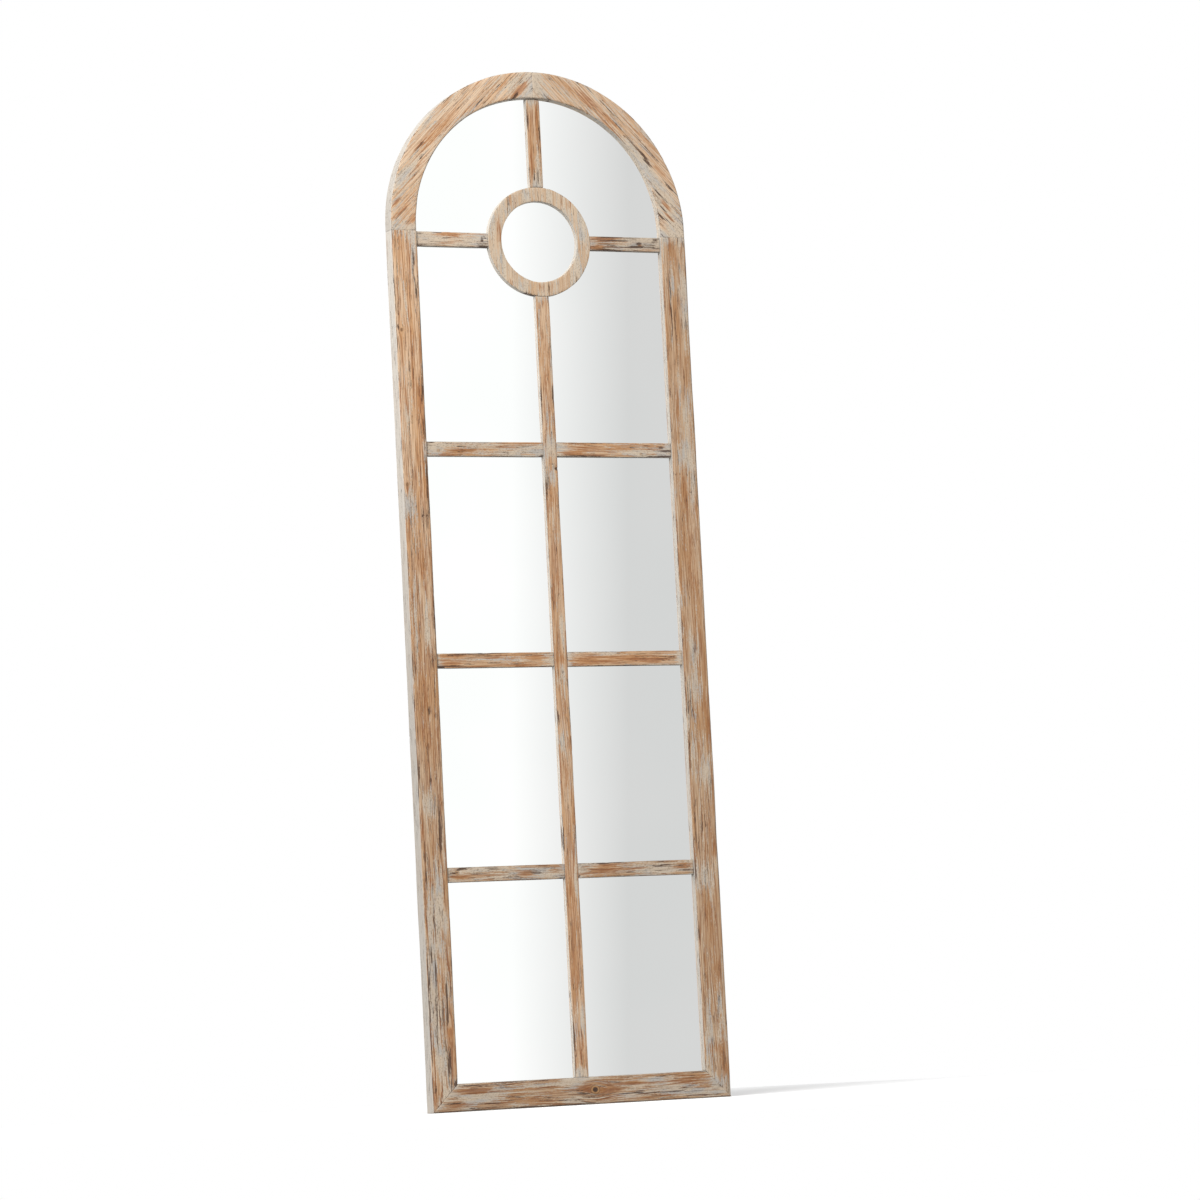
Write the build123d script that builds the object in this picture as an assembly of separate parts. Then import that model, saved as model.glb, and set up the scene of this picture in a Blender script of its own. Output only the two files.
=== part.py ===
from build123d import *
import math
import os

# Full-length arched mirror with a window-pane face, in millimetres. +Z is up and the front
# faces -Y. The origin is the middle of the bottom rail's underside, halfway through the
# frame's thickness. Everything is driven by the values below.

# Outside sizes and the frame's section
overall_height = 1800.0
overall_width = 556.0
frame_width = 47.5
frame_thickness = 30.0
arch_leg = 10.0
front_ease = 2.5
back_ease = 1.0

# The rebates behind the inner edge: a lip that the glass lies on, then a shoulder for the board
glass_setback = 15.0
lip_width = 9.0
shoulder_width = 20.0
glass_thickness = 4.0
underlay_thickness = 1.0
board_thickness = 5.0
edge_clearance = 0.9

# Glazing bars, planted on the glass, and the ring that they meet
bar_width = 26.0
bar_depth = 10.0
bar_ease = 1.0
cross_bar_rows = ["lower", "middle", "upper"]
ring_outer_diameter = 194.0
ring_inner_diameter = 142.0
cope_gap = 0.1

# Wooden dowels in the frame's joints and in the ends of the bars
frame_dowel_diameter = 8.0
frame_dowel_length = 30.0
frame_dowel_pitch = 18.0
corner_dowel_inset = 18.5
bar_dowel_diameter = 4.0
bar_dowel_length = 16.0
dowel_glue_gap = 0.1
dowel_end_gap = 0.5

# Pan-head screws through the backing board
board_screw_diameter = 3.5
board_screw_length = 18.0
board_screw_head_diameter = 7.0
board_screw_head_height = 2.0
board_screw_hole_gap = 0.3
stile_screw_count = 5
stile_screw_end_margin = 85.0
rail_screw_count = 3
rail_screw_pitch = 160.0
arch_screw_count = 4

# Strap hangers on the backs of the stiles, each with a swinging ring of steel wire
hanger_below_seam = 132.0
strap_width = 14.0
strap_length = 46.0
strap_thickness = 1.2
strap_corner = 3.0
ring_wire_diameter = 3.0
ring_eye_drop = 17.0
ring_corner = 3.0
ring_side_gap = 0.5
ring_end_gap = 0.6
ring_pin_gap = 0.08
ring_to_strap_gap = 0.4
hanger_screw_diameter = 4.0
hanger_screw_length = 16.0
hanger_screw_head_diameter = 7.5
hanger_screw_head_height = 2.2
hanger_screw_hole_gap = 0.2
hanger_screw_first = 27.0
hanger_screw_pitch = 12.0
screw_wood_gap = 0.05

# Rubber bumpers that hold the lower end off the wall, as thick as the hangers stand out
bumper_diameter = 14.0
bumper_height = 6.5
bumper_ease = 1.5
bumper_above_floor = 60.0

# Places worked out from those sizes
half_width = overall_width / 2
spring_z = overall_height - half_width
seam_z = spring_z - arch_leg
inner_half_width = half_width - frame_width
front_y = -frame_thickness / 2
back_y = frame_thickness / 2
glass_y = front_y + glass_setback
underlay_y = glass_y + glass_thickness
board_y = underlay_y + underlay_thickness
board_back_y = board_y + board_thickness
bar_front_y = glass_y - bar_depth
bar_middle_y = glass_y - bar_depth / 2
lip_middle_y = front_y + glass_setback / 2
ring_outer_radius = ring_outer_diameter / 2
ring_inner_radius = ring_inner_diameter / 2
half_bar = bar_width / 2
ring_z = seam_z - half_bar
cross_bar_count = len(cross_bar_rows)
pane_height = (ring_z - half_bar - frame_width - cross_bar_count * bar_width) / (cross_bar_count + 1)
wire_radius = ring_wire_diameter / 2
back_land = frame_width - shoulder_width
hanger_x = half_width - back_land / 2
hanger_height = seam_z - hanger_below_seam
pin_y = back_y + strap_thickness + ring_to_strap_gap + wire_radius


def cross_bar_z(level):
    """Height of a cross bar's centre line, level 0 being the lowest."""
    return frame_width + pane_height + half_bar + level * (pane_height + bar_width)


def prism_xz(points, y_from, y_to):
    """A solid with an outline given as (x, z) points, from one depth to another."""
    outline = make_face(Polyline(*[(x, y_from, z) for x, z in points], close=True))
    return extrude(outline, amount=y_to - y_from, dir=(0, 1, 0))


def cylinder_between(start, end, radius):
    """A round bar from one point to another."""
    axis = Vector(*end) - Vector(*start)
    plane = Plane(origin=start, z_dir=axis)
    return extrude(plane * Circle(radius), amount=axis.length)


def cylinder_y(x, z, radius, y_from, y_to):
    """A round bar through the thickness."""
    return cylinder_between((x, y_from, z), (x, y_to, z), radius)


def frame_section(plane):
    """The frame's section. Local x runs from the outer edge inwards and local y to the back."""
    lip_x = frame_width - lip_width
    shoulder_x = frame_width - shoulder_width
    outline = make_face(
        Polyline(
            (0, front_y),
            (frame_width, front_y),
            (frame_width, glass_y),
            (lip_x, glass_y),
            (lip_x, board_y),
            (shoulder_x, board_y),
            (shoulder_x, back_y),
            (0, back_y),
            close=True,
        )
    )
    front_corners = outline.vertices().filter_by_position(Axis.Y, front_y, front_y)
    outline = fillet(front_corners, front_ease)
    back_corner = outline.vertices().filter_by_position(Axis.Y, back_y, back_y).sort_by(Axis.X)[0]
    outline = fillet(back_corner, back_ease)
    return plane * outline


def upright_plane(z):
    """Section plane of the left side, with local x to the right."""
    return Plane(origin=(-half_width, 0, z), x_dir=(1, 0, 0), z_dir=(0, 0, 1))


def left_stile():
    """The left upright, mitred at its foot."""
    stile = extrude(frame_section(upright_plane(0)), amount=seam_z)
    below_mitre = [(-half_width, 0), (frame_width - half_width, frame_width), (frame_width - half_width, 0)]
    return stile - prism_xz(below_mitre, front_y, back_y)


def bottom_rail():
    """The rail along the floor, mitred at both ends."""
    plane = Plane(origin=(half_width, 0, 0), x_dir=(0, 0, 1), z_dir=(-1, 0, 0))
    rail = extrude(frame_section(plane), amount=overall_width)
    kept = [
        (-half_width, 0),
        (half_width, 0),
        (inner_half_width, frame_width),
        (-inner_half_width, frame_width),
    ]
    return rail & prism_xz(kept, front_y, back_y)


def left_arch_segment():
    """A quarter of the round head with the short straight leg under it."""
    middle = Axis((0, 0, spring_z), (0, 1, 0))
    curve = revolve(frame_section(upright_plane(spring_z)), axis=middle, revolution_arc=90)
    leg = extrude(frame_section(upright_plane(seam_z)), amount=arch_leg)
    return curve + leg


def bar_section(plane):
    """A glazing bar's section about its centre line, with its two front edges eased."""
    outline = make_face(
        Polyline(
            (-half_bar, bar_front_y),
            (half_bar, bar_front_y),
            (half_bar, glass_y),
            (-half_bar, glass_y),
            close=True,
        )
    )
    front_corners = outline.vertices().filter_by_position(Axis.Y, bar_front_y, bar_front_y)
    return plane * fillet(front_corners, bar_ease)


def vertical_bar(z_from, z_to):
    plane = Plane(origin=(0, 0, z_from), x_dir=(1, 0, 0), z_dir=(0, 0, 1))
    return extrude(bar_section(plane), amount=z_to - z_from)


def horizontal_bar(z, x_from, x_to):
    plane = Plane(origin=(x_to, 0, z), x_dir=(0, 0, 1), z_dir=(-1, 0, 0))
    return extrude(bar_section(plane), amount=x_to - x_from)


def ring_cope():
    """What the ends of the bars are hollowed by, where they meet the ring."""
    return cylinder_y(0, ring_z, ring_outer_radius + cope_gap, front_y, back_y)


def upper_vertical_bar():
    """From the crown to the ring, shaped to both."""
    bar = vertical_bar(ring_z, overall_height) - ring_cope()
    under_arch = cylinder_y(0, spring_z, inner_half_width - cope_gap, front_y, back_y)
    return bar & under_arch


def lower_vertical_bar():
    """From the ring down to the bottom rail in one length."""
    return vertical_bar(frame_width, ring_z) - ring_cope()


def left_ring_bar():
    return horizontal_bar(ring_z, -inner_half_width, 0) - ring_cope()


def centre_ring():
    """The ring round the small round pane, as deep as the bars and eased as they are."""
    band = Polyline(
        (ring_inner_radius, bar_front_y, ring_z),
        (ring_outer_radius, bar_front_y, ring_z),
        (ring_outer_radius, glass_y, ring_z),
        (ring_inner_radius, glass_y, ring_z),
        close=True,
    )
    ring = revolve(make_face(band), axis=Axis((0, 0, ring_z), (0, 1, 0)), revolution_arc=360)
    front_edges = ring.edges().filter_by(GeomType.CIRCLE).group_by(Axis.Y)[0]
    return fillet(front_edges, bar_ease)


def arched_sheet(half_sheet, bottom_z, y_from, thickness):
    """A sheet with a straight foot and a half-round head, concentric with the arch."""
    foot = prism_xz(
        [(-half_sheet, bottom_z), (half_sheet, bottom_z), (half_sheet, spring_z), (-half_sheet, spring_z)],
        y_from,
        y_from + thickness,
    )
    return foot + cylinder_y(0, spring_z, half_sheet, y_from, y_from + thickness)


def glass_sheet(y_from, thickness):
    """The outline that the glass and its underlay share, behind the lip."""
    overlap = lip_width - edge_clearance
    return arched_sheet(inner_half_width + overlap, frame_width - overlap, y_from, thickness)


def backing_sheet():
    overlap = shoulder_width - edge_clearance
    return arched_sheet(inner_half_width + overlap, frame_width - overlap, board_y, board_thickness)


def board_screw_places():
    """(x, z, wood) of each screw, midway across the shoulder, and the piece that it bites in."""
    inset = frame_width - (lip_width + shoulder_width) / 2
    reach = half_width - inset
    lowest = frame_width + stile_screw_end_margin
    step = (seam_z - stile_screw_end_margin - lowest) / (stile_screw_count - 1)
    places = []
    for number in range(stile_screw_count):
        places.append((-reach, lowest + number * step, "left_stile"))
        places.append((reach, lowest + number * step, "right_stile"))
    for number in range(rail_screw_count):
        x = (number - (rail_screw_count - 1) / 2) * rail_screw_pitch
        places.append((x, inset, "bottom_rail"))
    for number in range(arch_screw_count):
        angle = math.pi * (number + 0.5) / arch_screw_count
        wood = "right_arch_segment" if angle < math.pi / 2 else "left_arch_segment"
        places.append((reach * math.cos(angle), spring_z + reach * math.sin(angle), wood))
    return places


def pan_head_screw(diameter, length, head_diameter, head_height):
    """A screw with a domed head and a cross recess, seated on y = 0 and pointing to the front."""
    head = cylinder_y(0, 0, head_diameter / 2, 0, head_height)
    head = fillet(head.edges().group_by(Axis.Y)[-1], head_height / 2)
    recess_depth = head_height / 2
    recess_length = head_diameter * 0.6
    recess_width = head_diameter * 0.14
    cross = Box(recess_length, 2 * recess_depth, recess_width) + Box(recess_width, 2 * recess_depth, recess_length)
    tip_length = diameter
    shank = cylinder_y(0, 0, diameter / 2, tip_length - length, 0)
    tip_plane = Plane(origin=(0, tip_length - length, 0), z_dir=(0, -1, 0))
    tip = loft([tip_plane * Circle(diameter / 2), tip_plane.offset(tip_length) * Circle(diameter / 10)])
    return head + shank + tip - Pos(0, head_height, 0) * cross


def hanger_screw_heights():
    first = hanger_height - hanger_screw_first
    return [first, first - hanger_screw_pitch]


def hanger_strap(x):
    """A steel strap screwed to the stile, its top rolled round the ring's straight side."""
    plate = Pos(x, back_y + strap_thickness / 2, hanger_height - strap_length / 2) * Box(
        strap_width, strap_thickness, strap_length
    )
    lower_corners = plate.edges().filter_by(Axis.Y).group_by(Axis.Z)[0]
    plate = fillet(lower_corners, strap_corner)
    ends = [(x + side * strap_width / 2, pin_y, hanger_height) for side in (-1, 1)]
    bore_radius = wire_radius + ring_pin_gap
    strap = plate + cylinder_between(*ends, bore_radius + strap_thickness)
    strap -= cylinder_between(*ends, bore_radius)
    for z in hanger_screw_heights():
        hole_radius = hanger_screw_diameter / 2 + hanger_screw_hole_gap
        strap -= cylinder_y(x, z, hole_radius, back_y, back_y + strap_thickness)
    return strap


def hanger_ring(x):
    """A ring of round wire shaped like a D, hanging from its straight side. Its ends meet in the roll."""
    side = strap_width / 2 + ring_side_gap + ring_corner
    side_drop = ring_eye_drop + wire_radius - side
    top = hanger_height
    start = (x + ring_end_gap / 2, pin_y, top)
    right_top = (x + side - ring_corner, pin_y, top)
    right_side = (x + side, pin_y, top - ring_corner)
    right_low = (x + side, pin_y, top - side_drop)
    lowest = (x, pin_y, top - side_drop - side)
    left_low = (x - side, pin_y, top - side_drop)
    left_side = (x - side, pin_y, top - ring_corner)
    left_top = (x - side + ring_corner, pin_y, top)
    end = (x - ring_end_gap / 2, pin_y, top)
    bend = ring_corner * (1 - math.sqrt(0.5))
    right_bend = (x + side - bend, pin_y, top - bend)
    left_bend = (x - side + bend, pin_y, top - bend)
    route = Wire(
        [
            Edge.make_line(start, right_top),
            Edge.make_three_point_arc(right_top, right_bend, right_side),
            Edge.make_line(right_side, right_low),
            Edge.make_three_point_arc(right_low, lowest, left_low),
            Edge.make_line(left_low, left_side),
            Edge.make_three_point_arc(left_side, left_bend, left_top),
            Edge.make_line(left_top, end),
        ]
    )
    wire_end = Plane(origin=start, z_dir=(1, 0, 0)) * Circle(wire_radius)
    return sweep(wire_end, path=route)


def wall_bumper(x):
    bumper = cylinder_y(x, bumper_above_floor, bumper_diameter / 2, back_y, back_y + bumper_height)
    return fillet(bumper.edges().group_by(Axis.Y)[-1], bumper_ease)


def dowel(diameter, length):
    """A dowel along Z with chamfered ends."""
    pin = Cylinder(diameter / 2, length)
    return chamfer(pin.edges().filter_by(GeomType.CIRCLE), diameter / 8)


def dowel_hole(diameter, length):
    """The space that a dowel is glued into, a little longer and wider than the dowel."""
    return Cylinder(diameter / 2 + dowel_glue_gap, length + 2 * dowel_end_gap)


pieces = {
    "left_stile": left_stile(),
    "bottom_rail": bottom_rail(),
    "left_arch_segment": left_arch_segment(),
    "upper_vertical_bar": upper_vertical_bar(),
    "lower_vertical_bar": lower_vertical_bar(),
    "centre_ring": centre_ring(),
    "left_ring_bar": left_ring_bar(),
    "mirror_glass": glass_sheet(glass_y, glass_thickness),
    "foam_underlay": glass_sheet(underlay_y, underlay_thickness),
    "backing_board": backing_sheet(),
}
for level, row in enumerate(cross_bar_rows):
    pieces[f"{row}_left_cross_bar"] = horizontal_bar(cross_bar_z(level), -inner_half_width, -half_bar)
for name in [n for n in pieces if "left" in n]:
    pieces[name.replace("left", "right")] = mirror(pieces[name], about=Plane.YZ)
cuts = {name: [] for name in pieces}
sides = {"left": -1, "right": 1}

# The frame's dowels: the middle of each, the way that it runs and the pieces that it joins
across = [(frame_width - frame_dowel_pitch) / 2, (frame_width + frame_dowel_pitch) / 2]
both_segments = ["left_arch_segment", "right_arch_segment"]
crown = [((0, lip_middle_y, overall_height - inset), (1, 0, 0), both_segments) for inset in across]
seams = []
corners = []
for word, side in sides.items():
    for inset in across:
        joined = [f"{word}_stile", f"{word}_arch_segment"]
        seams.append(((side * (half_width - inset), lip_middle_y, seam_z), (0, 0, 1), joined))
    for inset in (corner_dowel_inset, corner_dowel_inset + frame_dowel_pitch):
        joined = [f"{word}_stile", "bottom_rail"]
        corners.append(((side * (half_width - inset), lip_middle_y, inset), (side, 0, 1), joined))

# The bars' dowels, each across the joint at one end of a bar
up = (0, 0, 1)
bar_ends = [
    ((0, bar_middle_y, spring_z + inner_half_width), up, ["upper_vertical_bar", *both_segments]),
    ((0, bar_middle_y, ring_z + ring_outer_radius), up, ["upper_vertical_bar", "centre_ring"]),
    ((0, bar_middle_y, ring_z - ring_outer_radius), up, ["lower_vertical_bar", "centre_ring"]),
    ((0, bar_middle_y, frame_width), up, ["lower_vertical_bar", "bottom_rail"]),
]
for word, side in sides.items():
    stile = f"{word}_stile"
    ring_bar = f"{word}_ring_bar"
    sideways = (1, 0, 0)
    bar_ends.append(((side * inner_half_width, bar_middle_y, ring_z), sideways, [ring_bar, stile]))
    bar_ends.append(((side * ring_outer_radius, bar_middle_y, ring_z), sideways, [ring_bar, "centre_ring"]))
    for level, row in enumerate(cross_bar_rows):
        bar = f"{row}_{word}_cross_bar"
        z = cross_bar_z(level)
        bar_ends.append(((side * inner_half_width, bar_middle_y, z), sideways, [bar, stile]))
        bar_ends.append(((side * half_bar, bar_middle_y, z), sideways, [bar, "lower_vertical_bar"]))

groups = {}
dowel_groups = {
    "crown_dowels": (crown, frame_dowel_diameter, frame_dowel_length),
    "arch_seam_dowels": (seams, frame_dowel_diameter, frame_dowel_length),
    "corner_dowels": (corners, frame_dowel_diameter, frame_dowel_length),
    "bar_dowels": (bar_ends, bar_dowel_diameter, bar_dowel_length),
}
for group, (places, diameter, length) in dowel_groups.items():
    pin = dowel(diameter, length)
    hole = dowel_hole(diameter, length)
    groups[group] = []
    for middle, along, joined in places:
        place = Plane(origin=middle, z_dir=along)
        groups[group].append(place * pin)
        for name in joined:
            cuts[name].append(place * hole)

# The backing board's screws, with clearance in the board and pilot holes in the wood
board_screw = pan_head_screw(
    board_screw_diameter, board_screw_length, board_screw_head_diameter, board_screw_head_height
)
groups["backing_screws"] = []
for x, z, wood in board_screw_places():
    groups["backing_screws"].append(Pos(x, board_back_y, z) * board_screw)
    hole_radius = board_screw_diameter / 2 + board_screw_hole_gap
    cuts["backing_board"].append(cylinder_y(x, z, hole_radius, board_y, board_back_y))
    pilot_end = board_back_y - board_screw_length - dowel_end_gap
    cuts[wood].append(cylinder_y(x, z, board_screw_diameter / 2 + screw_wood_gap, pilot_end, board_y))

# The hangers and bumpers on the backs of the stiles
strap_screw = pan_head_screw(
    hanger_screw_diameter, hanger_screw_length, hanger_screw_head_diameter, hanger_screw_head_height
)
strap_back_y = back_y + strap_thickness
groups["hanger_screws"] = []
for word, side in sides.items():
    x = side * hanger_x
    pieces[f"{word}_hanger_strap"] = hanger_strap(x)
    pieces[f"{word}_hanger_ring"] = hanger_ring(x)
    pieces[f"{word}_wall_bumper"] = wall_bumper(x)
    for z in hanger_screw_heights():
        groups["hanger_screws"].append(Pos(x, strap_back_y, z) * strap_screw)
        pilot_end = strap_back_y - hanger_screw_length - dowel_end_gap
        pilot_radius = hanger_screw_diameter / 2 + screw_wood_gap
        cuts[f"{word}_stile"].append(cylinder_y(x, z, pilot_radius, pilot_end, back_y))

for name, holes in cuts.items():
    if holes:
        pieces[name] -= holes

os.makedirs("parts", exist_ok=True)
for name, piece in pieces.items():
    export_step(piece, f"parts/{name}.step")
for name, copies in groups.items():
    export_step(Compound([solid for copy in copies for solid in copy.solids()]), f"parts/{name}.step")
print(len(pieces) + len(groups), "nodes written, panes", round(pane_height, 2), "high")
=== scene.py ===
import math

import bpy
import numpy as np
from mathutils import Matrix, Vector


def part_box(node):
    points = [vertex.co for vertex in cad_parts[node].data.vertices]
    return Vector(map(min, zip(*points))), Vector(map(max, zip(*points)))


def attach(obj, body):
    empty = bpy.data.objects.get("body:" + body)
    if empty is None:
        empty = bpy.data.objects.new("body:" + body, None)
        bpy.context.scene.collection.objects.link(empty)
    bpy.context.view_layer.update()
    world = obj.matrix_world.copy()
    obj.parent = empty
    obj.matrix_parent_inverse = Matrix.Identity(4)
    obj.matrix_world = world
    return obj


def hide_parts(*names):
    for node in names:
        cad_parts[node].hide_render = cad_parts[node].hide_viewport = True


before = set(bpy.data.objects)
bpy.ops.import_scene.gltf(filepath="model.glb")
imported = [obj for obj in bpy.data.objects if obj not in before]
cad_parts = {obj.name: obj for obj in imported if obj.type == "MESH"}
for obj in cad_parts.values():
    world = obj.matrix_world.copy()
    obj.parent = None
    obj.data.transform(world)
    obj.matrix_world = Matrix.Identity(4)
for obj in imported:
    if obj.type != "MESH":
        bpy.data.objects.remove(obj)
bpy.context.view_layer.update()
print("frame loaded:", len(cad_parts), "nodes")

mm = 0.001  # meshes are worked out in millimetres and stored in metres


def nodeBox(node):
    low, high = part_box(node)
    return [value / mm for value in low], [value / mm for value in high]


# the sizes that the pieces share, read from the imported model
stileLow, stileHigh = nodeBox("left_stile")
archHigh = nodeBox("left_arch_segment")[1]
ringLow, ringHigh = nodeBox("centre_ring")
glassLow, glassHigh = nodeBox("mirror_glass")
halfWidth = -stileLow[0]
frameWidth = stileHigh[0] - stileLow[0]
frontY, backY, seamZ = stileLow[1], stileHigh[1], stileHigh[2]
springZ = archHigh[2] - halfWidth
innerHalf = halfWidth - frameWidth
ringZ = (ringLow[2] + ringHigh[2]) / 2
ringRadius = (ringHigh[0] - ringLow[0]) / 2
barFrontY, glassY = ringLow[1], ringHigh[1]
halfBar = nodeBox("lower_vertical_bar")[1][0]
copeGap = 0.1


def srgb(red, green, blue, alpha=1.0):
    # a colour as it looks on the screen, 0 to 255, turned into the linear one that nodes take
    linear = []
    for part in (red, green, blue):
        part = part / 255
        linear.append(part / 12.92 if part <= 0.04045 else ((part + 0.055) / 1.055) ** 2.4)
    return (*linear, alpha)


# ---- smooth seeded noise for the carving


def hashed(key):
    key = (key ^ (key >> 13)) * 1274126177
    key = key ^ (key >> 16)
    return (key & 0xFFFF) / 32767.5 - 1


def noise(points, size, seed):
    # value noise from -1 to 1 whose lumps are as big as size, given for each axis
    points = points / np.array(size)
    cell = np.floor(points).astype(np.int64)
    part = points - cell
    part = part * part * (3 - 2 * part)
    total = np.zeros(len(points))
    for corner in range(8):
        step = np.array([corner & 1, corner >> 1 & 1, corner >> 2 & 1])
        key = (cell + step) @ np.array([73856093, 19349663, 83492791]) + seed * 91763
        weight = np.where(step, part, 1 - part).prod(axis=1)
        total += weight * hashed(key)
    return total


# ---- outlines and lofts

outline = {"easeSteps": 5, "arrisReach": 1.6}  # points round a rounded corner, and mm of wear past it


def roundedOutline(corners):
    # corners are (across, depth, radius, spacing to the next); gives points, normals and closeness to an arris
    spots = [np.array(corner[:2], float) for corner in corners]
    points, normals = [], []
    for index, corner in enumerate(corners):
        before, here, after = spots[index - 1], spots[index], spots[(index + 1) % len(spots)]
        inward = (here - before) / np.linalg.norm(here - before)
        onward = (after - here) / np.linalg.norm(after - here)
        radius = corner[2]
        if radius:
            centre = here - inward * radius + onward * radius
            for angle in np.linspace(0, math.pi / 2, outline["easeSteps"]):
                normal = inward * math.sin(angle) - onward * math.cos(angle)
                points.append(centre + normal * radius)
                normals.append(normal)
        else:
            outward = inward - onward
            turn = inward[0] * onward[1] - inward[1] * onward[0]
            points.append(here)
            normals.append(outward / np.linalg.norm(outward) * (1 if turn > 0 else -1))
        nextRadius = corners[(index + 1) % len(corners)][2]
        run = np.linalg.norm(after - here) - radius - nextRadius
        count = max(1, round(run / corner[3]))
        side = np.array([onward[1], -onward[0]])
        for number in range(1, count):
            points.append(here + onward * (radius + run * number / count))
            normals.append(side)
    points, normals = np.array(points), np.array(normals)
    arris = np.zeros(len(points))
    for spot, corner in zip(spots, corners):
        if corner[2]:
            away = np.linalg.norm(points - spot, axis=1)
            arris = np.maximum(arris, np.exp(-((away / (corner[2] + outline["arrisReach"])) ** 2)))
    return points, normals, arris


def oriented(points, normals, arris):
    # runs the outline so that its normals point out of it
    area = np.sum(points[:, 0] * np.roll(points[:, 1], -1) - points[:, 1] * np.roll(points[:, 0], -1))
    if area < 0:
        points, normals, arris = points[::-1], normals[::-1], arris[::-1]
    return points, normals, arris


def placed(name, data):
    made = bpy.data.objects.new(name, data)
    bpy.context.scene.collection.objects.link(made)
    return made


def addMesh(name, rows, closed, attributes, sharpAngle=50):
    # a skin through rows of points, capped at both ends unless it closes on itself
    stations, around = rows.shape[:2]
    index = np.arange(stations * around).reshape(stations, around)
    following = np.roll(index, -1, axis=0) if closed else index[1:]
    current = index if closed else index[:-1]
    quads = np.stack(
        [current, np.roll(current, -1, axis=1), np.roll(following, -1, axis=1), following], axis=-1
    ).reshape(-1, 4)
    faces = quads.tolist()
    if not closed:
        faces.append(index[0][::-1].tolist())
        faces.append(index[-1].tolist())
    mesh = bpy.data.meshes.new(name)
    mesh.from_pydata((rows.reshape(-1, 3) * mm).tolist(), [], faces)
    if signedVolume(rows, quads) < 0:
        mesh.flip_normals()
    for label, (kind, values) in attributes.items():
        field = "color" if kind == "FLOAT_COLOR" else "vector"
        mesh.attributes.new(label, kind, "POINT").data.foreach_set(field, values.astype(np.float32).ravel())
    mesh.shade_smooth()
    mesh.set_sharp_from_angle(angle=math.radians(sharpAngle))
    return placed(name, mesh)


def signedVolume(rows, quads):
    spots = rows.reshape(-1, 3)
    a, b, c, d = (spots[quads[:, side]] for side in range(4))
    return np.sum(np.cross(a, b) * c) + np.sum(np.cross(a, c) * d)


# ---- weathering and painted shade: where the wash, the bare wood, the cracks, the painted contact shade and the knots are, how deep they are carved, and how far the sides are darkened or lightened as painted shade and light

wear = {
    "ease": 0.55,  # mm worn off an arris at most
    "ripple": 0.22,  # mm of broad unevenness left by hand sanding
    "fibre": 0.16,  # mm between the raised grain and the soft wood
    "crack": 0.7,  # mm deep at a crack's middle
    "seam": 0.35,  # mm of easing along a joint's edge
    "checkWidth": 1.25,  # the widths and strengths of the listed cracks and painted contact-shade notches are multiplied by these
    "checkShare": 1.3,
    "edgeLine": 0.75,  # a dark line along an arris, as a crack's strength
    "edgeFacing": (0.72, 0.2),  # how far forwards an arris faces where that dark line is, and its spread
    "seamReach": (1.3, 0.9),  # mm of the dark line at a joint, and of the easing there
    "sideWash": 0.62,  # more wash on the sides and less on the back
    "backWash": -0.25,
    "swaySize": (60, 60, 260),  # mm of each noise's lumps: across, deep and along
    "edgeSize": (30, 30, 45),
    "fineStreak": (1.7, 1.7, 55),
    "broadStreak": (3.6, 3.6, 120),
    "lumpSize": (14, 14, 90),
    "nickSize": (5, 5, 11),
    "endSteps": (0, 0.5, 1.3, 2.6),  # mm from an end to its closest rows
}


def grainSpots(x, z, degrees):
    # across and along the grain, which leans by so many degrees from upright towards +X
    lean = math.radians(degrees)
    return x * math.cos(lean) - z * math.sin(lean), x * math.sin(lean) + z * math.cos(lean)


def patchMask(across, along, patches, degrees):
    # soft ellipses (x, z, half width, half length, strength) that lie along the grain
    mask = np.zeros(len(across))
    for x, z, halfAcross, halfAlong, strength in patches:
        spotAcross, spotAlong = grainSpots(x, z, degrees)
        away = np.hypot((across - spotAcross) / halfAcross, (along - spotAlong) / halfAlong)
        mask += strength * np.exp(-(away**2) * 0.9)
    return mask


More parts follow.
